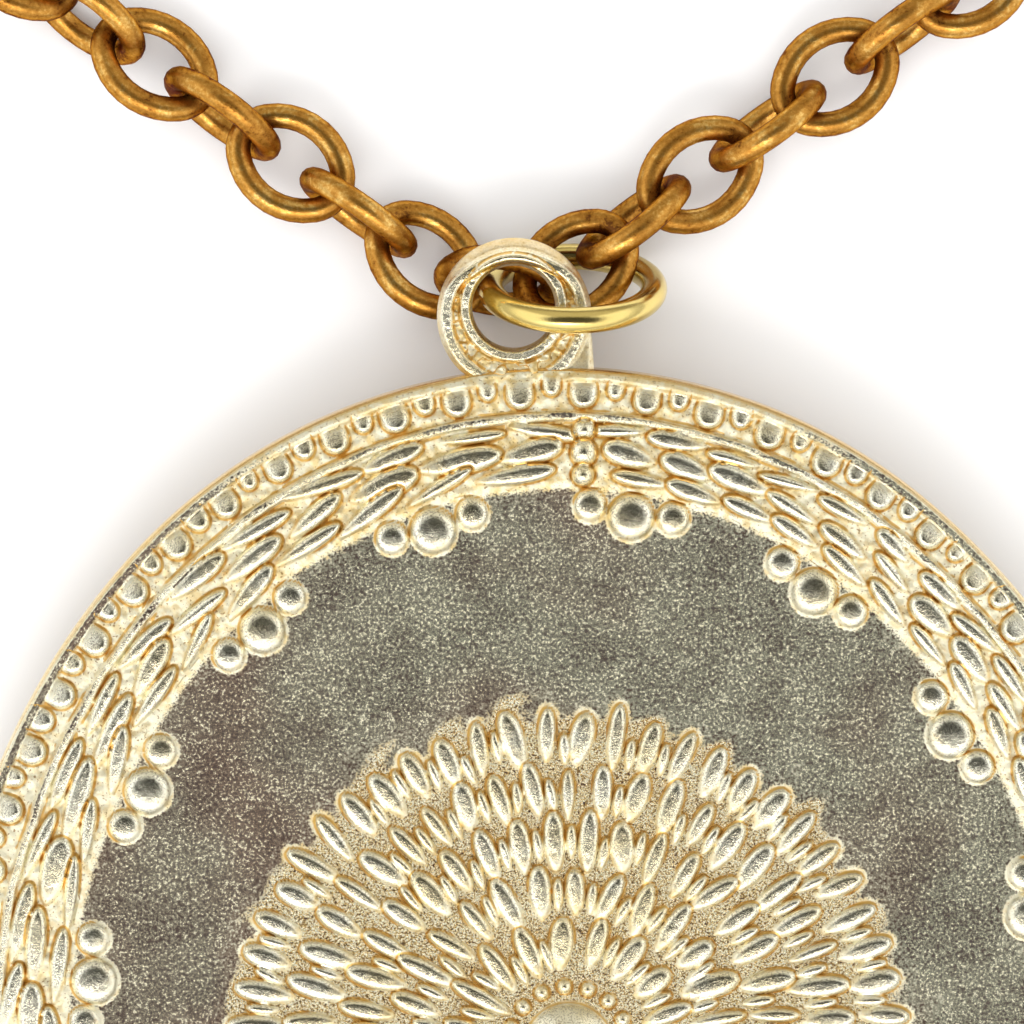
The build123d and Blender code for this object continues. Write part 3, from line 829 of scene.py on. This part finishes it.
outer_rim = ridge(from_round, OUTER_RIM_AT, 0.22, 6)
inner_rim = ridge(from_hole, INNER_RIM_AT, 0.20, 6)
inside_outer = smooth(0.50 + 0.25 * at_top, 0.63 + 0.25 * at_top, from_round)
channel = smooth(0.42, 0.55, from_hole) * inside_outer
face_z = EYELET_FACE + 0.22 * outer_rim + 0.20 * inner_rim
face_z = face_z + channel * (0.16 * smooth(0.1, 0.5, lumps) + 0.015 * pits)
face_z = face_z + 0.007 * lumps + 0.0035 * pits

# The edge: a wide soft bevel at the top of the eyelet, a small rounding elsewhere
bevel_width = 0.16 + 0.45 * at_top
bevel = 1 - np.clip(from_edge / bevel_width, 0, 1)
face_z = face_z - (0.22 + 0.35 * at_top) * bevel ** 2 * (1 - near_foot)
face_z = face_z - 0.22 * (1 - np.sqrt(1 - (1 - np.clip(from_hole / 0.16, 0, 1)) ** 2))
face_z = face_z + near_foot * (0.16 - 0.22 * ridge(from_edge, 0, 0.14)) * (1 - outer_rim)
print("eyelet's face from", face_z.min().round(2), "to", face_z.max().round(2), "mm")

# %% Marks of the eyelet
# Painted reflection: orange bounce light in the hollows beside both rims and among the channel's lumps
eyelet_painted_reflection = ridge(from_hole, 0.49, 0.09) + ridge(from_round, 0.59 + 0.26 * at_top, 0.09)
eyelet_painted_reflection = eyelet_painted_reflection + channel * ridge(lumps, 0.15, 0.22)
eyelet_painted_reflection = np.clip(eyelet_painted_reflection * smooth(-1.8, -0.4, pits), 0, 1)
# Painted reflection: a tan band on the eyelet's outer edge, stronger at the top
on_edge = smooth(0.18 + 0.27 * at_top, 0.08 + 0.22 * at_top, from_round)
eyelet_painted_reflection = np.maximum(eyelet_painted_reflection, (0.68 + 0.07 * at_top) * on_edge)
eyelet_polish = 0.9 * np.maximum(outer_rim, inner_rim)
eyelet_polish = np.maximum(eyelet_polish, 0.4 * smooth(0.62, 0.5, from_round))

under = np.full((1, EYELET_COUNT), EYELET_BACK)
none = np.zeros((1, EYELET_COUNT))
grid_x = np.concatenate([face_x[:1], face_x, face_x[-1:]])
grid_y = np.concatenate([face_y[:1], face_y, face_y[-1:]])
grid_z = np.concatenate([under, face_z, under])
marks = {
    # Painted reflection on the hole's wall and on the outer wall
    "painted_reflection": np.concatenate([none + 0.86, eyelet_painted_reflection, none + 0.68]),
    "rubbed_and_painted_light": np.ones(grid_x.shape),
    "grain": np.concatenate([none + 0.3, 0.35 - 0.15 * at_top, none + 0.2]),
    "polish": np.concatenate([none, eyelet_polish, none + 0.7]),
}
eyelet_points = off_the_plate(grid_x, grid_y, grid_z).reshape(-1, 3)
eyelet_quads = quads_of(len(grid_x), EYELET_COUNT, wrap_rows=True)
medal_pieces.append(make_piece("eyelet", eyelet_points, eyelet_quads, marks))

# %% [markdown]
# ## Wire loops
# Links, ring and clasp are round wire bent into closed loops. One helper sweeps a circle along
# a flat closed line: it needs only the line's points and outward normals. A link's line is an
# oval of four arcs like the plate's, only smaller.

# %% Wire helper
WIRE_SIDES = 14


def sweep_wire(line, normals, radius, sides=WIRE_SIDES):
    """Points round a flat closed line: line and normals are (n, 2), the result (n, sides, 3)."""
    turn = full_turn(sides) * 2 * math.pi
    out, up = np.cos(turn) * radius, np.sin(turn) * radius
    flat = line[:, None, :] + normals[:, None, :] * out[None, :, None]
    return np.concatenate([flat, np.broadcast_to(up[None, :, None], (*flat.shape[:2], 1))], 2)


def oval_line(half_length, half_width, per_arc):
    """Points and outward normals of an oval of four arcs."""
    end = (half_width - (ROOT - 1) * half_length) / (2 - ROOT)
    side = half_length + half_width - end
    arc = np.radians(np.arange(per_arc) / per_arc * 90 - 45)
    line, normals = [], []
    for n, (radius, centre) in enumerate([(end, half_length - end), (side, half_width - side)] * 2):
        angle = arc + n * math.pi / 2
        normal = np.stack([np.cos(angle), np.sin(angle)], 1)
        middle = np.array((centre, 0)) if n % 2 == 0 else np.array((0, centre))
        line.append(middle * (1 if n < 2 else -1) + radius * normal)
        normals.append(normal)
    return np.concatenate(line), np.concatenate(normals)


def place_link(points, x, y, z, heading, slope, roll):
    """Moves a flat loop to its place: its long axis points along the heading and slope."""
    h, s, r = (math.radians(v) for v in (heading, slope, roll))
    along = np.array((math.cos(h) * math.cos(s), math.sin(h) * math.cos(s), math.sin(s)))
    left = np.array((-math.sin(h), math.cos(h), 0.0))
    normal = np.cross(along, left) * math.cos(r) - left * math.sin(r)
    across = np.cross(normal, along)
    middle = HOLE_AT + np.array((x, y, z))
    axes = np.stack([along, across, normal])
    return (middle + points @ axes) * MM


# %% [markdown]
# ## Route of the chain
# The links near the eyelet lie about as in the photograph, each one given by its place and how
# it is turned. From there each arm runs straight and then on one wide arc to the clasp at the
# top of the loop. Every link is rolled against its neighbours, as links on a real chain are.

# %% Route
CHAIN_LENGTH = 600.0
LINK_LENGTH = 5.0
LINK_WIDTH = 4.0
LINK_WIRE = 0.9
LINK_PLAY = 0.2
CLASP_LENGTH = 9.0
CLASP_WIDTH = 3.9
CLASP_WIRE = 1.1
RISE = math.radians(36.0)
HIDDEN_ROLL = 45.0
SAG = 0.08

# Each link's middle from the hole, with its heading, slope and roll in degrees
CHOSEN_LEFT = [
    (-0.50, 0.95, 1.95, 183, -26, -57),
    (-3.15, 1.70, 1.70, 137, 0, 23),
    (-5.57, 3.40, 1.98, 145, 0, -82),
]
CHOSEN_RIGHT = [
    (2.23, 1.37, 2.65, 40, 0, -17),
    (4.30, 3.05, 2.55, 39, -8, -75),
    (6.70, 4.75, 2.08, 35, -5, 14),
]
# Rolls of the links that follow; the rest roll to one side and the other in turn
ROLLS_LEFT = [0, -76, 24, -64, 32, -56]
ROLLS_RIGHT = [-76, 2, 80, 0, -76, 22, -60, 38]

# %% Arms
PITCH = LINK_LENGTH - 2 * LINK_WIRE - LINK_PLAY
CLASP_SPAN = CLASP_LENGTH + LINK_LENGTH - 2 * (CLASP_WIRE + LINK_WIRE) - LINK_PLAY
LONG_RUN = CHAIN_LENGTH - (len(CHOSEN_LEFT) + len(CHOSEN_RIGHT)) * PITCH - CLASP_SPAN
LINK_Y = (LINK_WIDTH - LINK_WIRE) / 2
APART = CLASP_SPAN - (CHOSEN_RIGHT[-1][0] - CHOSEN_LEFT[-1][0])
ARC_RADIUS = (LONG_RUN - APART / math.cos(RISE)) / (2 * (math.tan(RISE) + math.pi - RISE))
STRAIGHTS = (APART + 2 * ARC_RADIUS * math.sin(RISE)) / math.cos(RISE)
UNEVEN = (CHOSEN_RIGHT[-1][1] - CHOSEN_LEFT[-1][1]) / math.sin(RISE)


def arm_poses(chosen, rolls, side, straight):
    """Poses of all links of one arm; side is 1 for the right arm and -1 for the left."""
    length = straight + ARC_RADIUS * (math.pi - RISE)
    count = 2 * round((length / PITCH - 1) / 2) + 1
    first = math.copysign(HIDDEN_ROLL, -rolls[-1])
    rolls = rolls + [first * (-1) ** n for n in range(count - len(rolls))]
    needs = [chosen[-1][2]]
    needs += [LINK_WIRE / 2 + LINK_Y * abs(math.sin(math.radians(roll))) for roll in rolls]
    poses = list(chosen)
    for n, roll in enumerate(rolls, start=1):
        run = n * length / count
        turned = RISE + max(run - straight, 0) / ARC_RADIUS
        x = min(run, straight) * math.cos(RISE) + ARC_RADIUS * (math.sin(turned) - math.sin(RISE))
        y = min(run, straight) * math.sin(RISE) + ARC_RADIUS * (math.cos(RISE) - math.cos(turned))
        z = max(need - SAG * abs(n - m) for m, need in enumerate(needs))
        heading = math.degrees(turned)
        poses.append((chosen[-1][0] + side * x, chosen[-1][1] + y, z,
                      heading if side == 1 else 180 - heading, 0, roll))
    return poses


arms = {
    "chain_left": arm_poses(CHOSEN_LEFT, ROLLS_LEFT, -1, (STRAIGHTS + UNEVEN) / 2),
    "chain_right": arm_poses(CHOSEN_RIGHT, ROLLS_RIGHT, 1, (STRAIGHTS - UNEVEN) / 2),
}
print({name: len(poses) for name, poses in arms.items()}, "links")

# %% [markdown]
# ## Chain arms, ring and clasp
# Links, ring and clasp are all plain bent wire, so the same helpers make them. All links of an
# arm are one piece. Each link carries a number of its own, so that the finish can make
# neighbours differ a little, and a mark for the grime where links sit in each other, which also
# holds painted shade down the sides and underside of the wire.

# %% Chain arms
LINK_ARC_STEPS = 9
link_line, link_normals = oval_line((LINK_LENGTH - LINK_WIRE) / 2, LINK_Y, LINK_ARC_STEPS)
link_points = sweep_wire(link_line, link_normals, LINK_WIRE / 2)
link_faces = quads_of(len(link_line), WIRE_SIDES, wrap_rows=True)
link_middle = np.zeros_like(link_points)
link_middle[..., :2] = link_line[:, None]
points_a_link = len(link_line) * WIRE_SIDES

inner_side = 0.5 - 0.5 * np.cos(full_turn(WIRE_SIDES) * 2 * math.pi)
link_inner = np.broadcast_to(inner_side, link_points.shape[:2])
link_end = np.abs(link_line[:, :1]) / link_line[:, 0].max()
seat = (link_inner * smooth(0.75, 1.0, link_end)).ravel()
wire_pieces = {}
for name, poses in arms.items():
    points = np.concatenate([place_link(link_points.reshape(-1, 3), *pose) for pose in poses])
    middles = np.concatenate([place_link(link_middle.reshape(-1, 3), *pose) for pose in poses])
    upward = (points - middles)[:, 2] / (LINK_WIRE / 2 * MM)
    faces = np.concatenate([link_faces + n * points_a_link for n in range(len(poses))])
    tone = np.repeat(dice.random(len(poses)), points_a_link)
    # Grime where links sit in each other, and painted shade down the wire's sides and underside
    seat_grime_and_painted_shade = np.maximum(np.tile(seat, len(poses)), 1 - smooth(0.0, 0.65, upward))
    wire_pieces[name] = make_piece(name + "_links", points, faces, {"tone": tone, "seat_grime_and_painted_shade": seat_grime_and_painted_shade})

# %% Jump ring
RING = 6.8
RING_WIRE = 0.95
RING_STEPS = 96
RING_SIDES = 24
turn = full_turn(RING_STEPS) * 2 * math.pi
circle = np.stack([np.cos(turn), np.sin(turn)], 1)
ring_points = sweep_wire(circle * (RING - RING_WIRE) / 2, circle, RING_WIRE / 2, RING_SIDES)
ring_points = place_link(ring_points.reshape(-1, 3), *RING_POSE)
ring_quads = quads_of(RING_STEPS, RING_SIDES, wrap_rows=True)
wire_pieces["jump_ring"] = make_piece("round_ring", ring_points, ring_quads)

# %% Clasp
CLASP_SIDES = 16
CLASP_TONE = 0.4
bend = (CLASP_WIDTH - CLASP_WIRE) / 2
reach = (CLASP_LENGTH - CLASP_WIRE) / 2 - bend
half_turn = np.linspace(-math.pi / 2, math.pi / 2, 17)
cap = np.stack([np.cos(half_turn), np.sin(half_turn)], 1)
loop_line = np.concatenate([cap * bend + (reach, 0), -cap * bend - (reach, 0)])
loop_normals = np.concatenate([cap, -cap])
loop_points = sweep_wire(loop_line, loop_normals, CLASP_WIRE / 2, CLASP_SIDES).reshape(-1, 3)
last_left, last_right = arms["chain_left"][-1], arms["chain_right"][-1]
clasp_z = CLASP_WIRE / 2 + bend * math.sin(math.radians(HIDDEN_ROLL))
clasp_pose = ((last_left[0] + last_right[0]) / 2, last_left[1], clasp_z, 0, 0, -HIDDEN_ROLL)
clasp_marks = {"tone": np.full(len(loop_points), CLASP_TONE), "seat_grime_and_painted_shade": np.zeros(len(loop_points))}
loop_quads = quads_of(len(loop_line), CLASP_SIDES, wrap_rows=True)
clasp_points = place_link(loop_points, *clasp_pose)
wire_pieces["clasp"] = make_piece("plain_clasp", clasp_points, loop_quads, clasp_marks)

# %% [markdown]
# ## Gold of the medallion
# The casting is plated pale gold. Where it is rubbed it is nearly silver, in the grooves an
# orange is painted for the light that bounces from gold to gold, and the open field is sandy and
# dark, with painted glints. All three come from the marks of the skin, which also paint a halo of
# paler gold round the forms and a dark reflection on the raised line's top. Polished tops are
# pricked with tiny dark specks, the ground of the border has dark pits, and the rough ground of
# the rosette glitters in white, amber and brown. The grain itself is a fine bump, because it is
# too small for the mesh. Noises in the object's own space need no unwrapping, which painted
# textures would.

# %% Marks and noises
# Sizes of spots in millimetres, from the clouds on the field to the grain of the metal
CLOUD_SIZE = 7.0
BLOTCH_SIZE = 2.2
WEAR_SIZE = 0.45
DENT_SIZE = 0.30
SPECK_SIZE = 0.10
PIT_SIZE = 0.10
PRICK_SIZE = 0.065
GRAIN_SIZE = 0.06


def marks_of(tree, *names):
    """The marks that a piece's points carry."""
    return [add_node(tree, "ShaderNodeAttribute", attribute_name=name).outputs["Fac"] for name in names]


def noise(tree, place, size_mm, detail=2.0, roughness=0.5):
    """Noise whose spots are about a size in millimetres."""
    node = add_node(tree, "ShaderNodeTexNoise", {
        "Vector": place, "Scale": 1 / (size_mm * MM), "Detail": detail, "Roughness": roughness})
    return node.outputs["Fac"]


medal_gold, tree = new_material("medal_gold")
place = add_node(tree, "ShaderNodeTexCoord").outputs["Object"]
across = add_node(tree, "ShaderNodeSeparateXYZ", {"Vector": place}).outputs["X"]
painted_reflection_mark, rubbed_and_painted_light_mark, grain_mark, polish_mark = marks_of(tree, *skin_marks)
blotch = noise(tree, place, BLOTCH_SIZE, 4.0)
speck = noise(tree, place, SPECK_SIZE, 2.0, 0.7)
tiny = noise(tree, place, PRICK_SIZE, 2.0, 0.6)

# %% Rubbed gold
PALE = (0.94, 0.91, 0.74)
PALE_GOLD = (0.92, 0.82, 0.54)
CREAM = (0.94, 0.89, 0.68)
GOLD = (0.82, 0.65, 0.32)
AMBER = (0.88, 0.67, 0.28)
DUST = (0.13, 0.07, 0.06)
GLITTER = [(0.0, DUST), (0.41, DUST), (0.44, AMBER), (0.48, AMBER), (0.52, PALE), (1.0, PALE)]

# The gold is paler towards both sides of the plate, by place across the frame
paler_sides = remap(tree, math_node(tree, "ABSOLUTE", across), 0.005, 0.016, 0.0, -0.45)
uneven = math_node(tree, "ADD", remap(tree, blotch, 0.38, 0.62, 0.0, 1.0), paler_sides)
worn_and_paler_sides = remap(tree, noise(tree, place, WEAR_SIZE, 4.0, 0.6), 0.40, 0.60, 0.0, 1.0)
worn_and_paler_sides = math_node(tree, "ADD", worn_and_paler_sides, paler_sides)
pricked = remap(tree, tiny, 0.40, 0.48, 0.55, 1.0)
in_glitter = remap(tree, grain_mark, 0.75, 1.2, 0.0, 1.0)
ground_gold = mix_colour(tree, worn_and_paler_sides, CREAM, GOLD)
ground_gold = mix_colour(tree, in_glitter, ground_gold, add_ramp(tree, tiny, GLITTER))
top_gold = mix_colour(tree, pricked, DUST, mix_colour(tree, uneven, PALE, PALE_GOLD))
rubbed_gold = mix_colour(tree, polish_mark, ground_gold, top_gold)
print("with the rubbed gold", len(tree.nodes), "nodes")

# %% Sandy field
SANDY = (0.255, 0.25, 0.185)
BUFF = (0.20, 0.15, 0.11)
PLUM = (0.08, 0.055, 0.045)
PAINTED_GLINT = (0.62, 0.59, 0.45)

speck = math_node(tree, "ADD", speck, remap(tree, blotch, 0.35, 0.65, -0.04, 0.04))
clouds_and_painted_shade = remap(tree, noise(tree, place, CLOUD_SIZE, 2.0), 0.40, 0.62, -0.5, 0.5)
# Partly the field's own browner tone, partly painted shade: the field grows darker and browner towards the
# left, where the light falls off
clouds_and_painted_shade = math_node(tree, "ADD", clouds_and_painted_shade, remap(tree, across, -0.014, 0.010, 1.0, 0.0))
sand = mix_colour(tree, clouds_and_painted_shade, SANDY, BUFF)
sand = mix_colour(tree, remap(tree, speck, 0.48, 0.38, 0.0, 1.0), sand, PLUM)
# Painted glints: bright specks in the sand's colour
sand = mix_colour(tree, remap(tree, speck, 0.55, 0.66, 0.0, 1.0), sand, PAINTED_GLINT)
ragged = math_node(tree, "MULTIPLY", math_node(tree, "SUBTRACT", speck, 0.5), 1.2)
# Rubbed gold where the mark is high, sand where it is low; the mark also holds a painted halo of light and
# a painted dark line
patchy = math_node(tree, "ADD", rubbed_and_painted_light_mark, ragged)
surface = mix_colour(tree, remap(tree, patchy, 0.35, 0.65, 0.0, 1.0), sand, rubbed_gold)
print("with the sandy field", len(tree.nodes), "nodes")

# %% Pits and painted bounce light
SOOT = (0.34, 0.20, 0.06)
PAINTED_BOUNCE_ORANGE = (0.70, 0.43, 0.11)

unpolished = math_node(tree, "SUBTRACT", rubbed_and_painted_light_mark, polish_mark)
pit = remap(tree, noise(tree, place, PIT_SIZE, 1.0, 0.5), 0.63, 0.70, 0.0, 0.85)
surface = mix_colour(tree, math_node(tree, "MULTIPLY", pit, unpolished), surface, SOOT)
# Painted reflection: orange bounce light where the skin's marks lie in grooves and on edges
line = remap(tree, painted_reflection_mark, 0.62, 0.90, 0.0, 0.92, eased=True)
surface = mix_colour(tree, line, surface, PAINTED_BOUNCE_ORANGE)
print("with pits and grooves", len(tree.nodes), "nodes")

# %% Grain and gloss
GRAIN_DEPTH = 0.00005
DENT_DEPTH = 0.00010
PLAIN_ROUGH = 0.27
POLISH_GAIN = 0.15

grain_strength = math_node(tree, "ADD", math_node(tree, "MULTIPLY", grain_mark, 0.95), 0.02)
grain_bump = add_node(tree, "ShaderNodeBump", {
    "Height": noise(tree, place, GRAIN_SIZE, 4.0, 0.8), "Distance": GRAIN_DEPTH,
    "Strength": grain_strength})
dents = add_node(tree, "ShaderNodeBump", {
    "Height": noise(tree, place, DENT_SIZE, 3.0), "Distance": DENT_DEPTH,
    "Strength": remap(tree, unpolished, 0.0, 1.0, 0.08, 0.35),
    "Normal": grain_bump.outputs["Normal"]})
polished = math_node(tree, "MULTIPLY", polish_mark, POLISH_GAIN)
dull = math_node(tree, "SUBTRACT", 0.17, math_node(tree, "MULTIPLY", in_glitter, 0.20))
dull = math_node(tree, "MULTIPLY", remap(tree, unpolished, 0.0, 1.0, 0.0, 1.0), dull)
rough = math_node(tree, "ADD", math_node(tree, "SUBTRACT", PLAIN_ROUGH, polished), dull)
finish_material(medal_gold, add_node(tree, "ShaderNodeBsdfPrincipled", {
    "Base Color": surface, "Metallic": 1.0, "Roughness": rough, "Normal": dents.outputs["Normal"]}))

# %% [markdown]
# ## Antique brass and bright brass
# The chain's brass is stained brown and then rubbed, so the wire is golden brown on top, with
# dark spots. Its sides and underside get painted shade in dark brown. One sum of noises, link
# tone, grime in the seats and that painted shade drives both colour and gloss, so rubbed spots
# are paler and shinier at once. The ring is polished brass.

# %% Antique brass
UMBER = (0.16, 0.055, 0.010)
BROWN = (0.42, 0.18, 0.026)
BRASS = (0.57, 0.28, 0.052)
WORN_BRASS = (0.85, 0.57, 0.18)
STAINS = [(0.0, UMBER), (0.34, UMBER), (0.41, BROWN), (0.53, BRASS), (0.66, WORN_BRASS), (1.0, WORN_BRASS)]
EDGE_TINT = (0.45, 0.30, 0.16, 1.0)
STAIN_SIZE = 0.8
FLECK_SIZE = 0.13

antique_brass, tree = new_material("antique_brass")
place = add_node(tree, "ShaderNodeTexCoord").outputs["Object"]
tone_mark, seat_grime_and_painted_shade_mark = marks_of(tree, "tone", "seat_grime_and_painted_shade")
stain = math_node(tree, "MULTIPLY", noise(tree, place, STAIN_SIZE, 5.0, 0.65), 0.6)
fleck = noise(tree, place, FLECK_SIZE, 3.0, 0.7)
mottle = math_node(tree, "ADD", stain, math_node(tree, "MULTIPLY", fleck, 0.4))
mottle = math_node(tree, "ADD", mottle, remap(tree, tone_mark, 0.0, 1.0, -0.03, 0.03))
# Grime in the seats and painted shade on the lower sides darken the brass
mottle = math_node(tree, "SUBTRACT", mottle, math_node(tree, "MULTIPLY", seat_grime_and_painted_shade_mark, 0.14))
bump = add_node(tree, "ShaderNodeBump", {"Height": fleck, "Distance": 0.00003, "Strength": 0.35})
finish_material(antique_brass, add_node(tree, "ShaderNodeBsdfPrincipled", {
    "Base Color": add_ramp(tree, mottle, STAINS), "Metallic": 1.0,
    "Roughness": remap(tree, mottle, 0.40, 0.60, 0.42, 0.29), "Normal": bump.outputs["Normal"],
    "Specular Tint": EDGE_TINT, "Coat Weight": 0.08, "Coat Roughness": 0.25}))

# %% Bright brass
YELLOWS = [(0.0, (0.70, 0.52, 0.15)), (1.0, (0.84, 0.68, 0.27))]
HUE_SIZE = 1.4
RUB_SIZE = 0.12

bright_brass, tree = new_material("bright_brass")
place = add_node(tree, "ShaderNodeTexCoord").outputs["Object"]
bump = add_node(tree, "ShaderNodeBump", {
    "Height": noise(tree, place, RUB_SIZE, 3.0), "Distance": 0.00002, "Strength": 0.15})
finish_material(bright_brass, add_node(tree, "ShaderNodeBsdfPrincipled", {
    "Base Color": add_ramp(tree, noise(tree, place, HUE_SIZE, 3.0), YELLOWS), "Metallic": 1.0,
    "Roughness": 0.19, "Normal": bump.outputs["Normal"]}))

# %% [markdown]
# ## Tie the pieces to the frame
# Every piece rides on the one body of the part and stands for the solid that it dresses.

# %% Finish
for piece in medal_pieces:
    piece.data.materials.append(medal_gold)
    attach(piece, "root")
    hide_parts("medallion")
for node, piece in wire_pieces.items():
    piece.data.materials.append(bright_brass if node == "jump_ring" else antique_brass)
    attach(piece, "root")
    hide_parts(node)
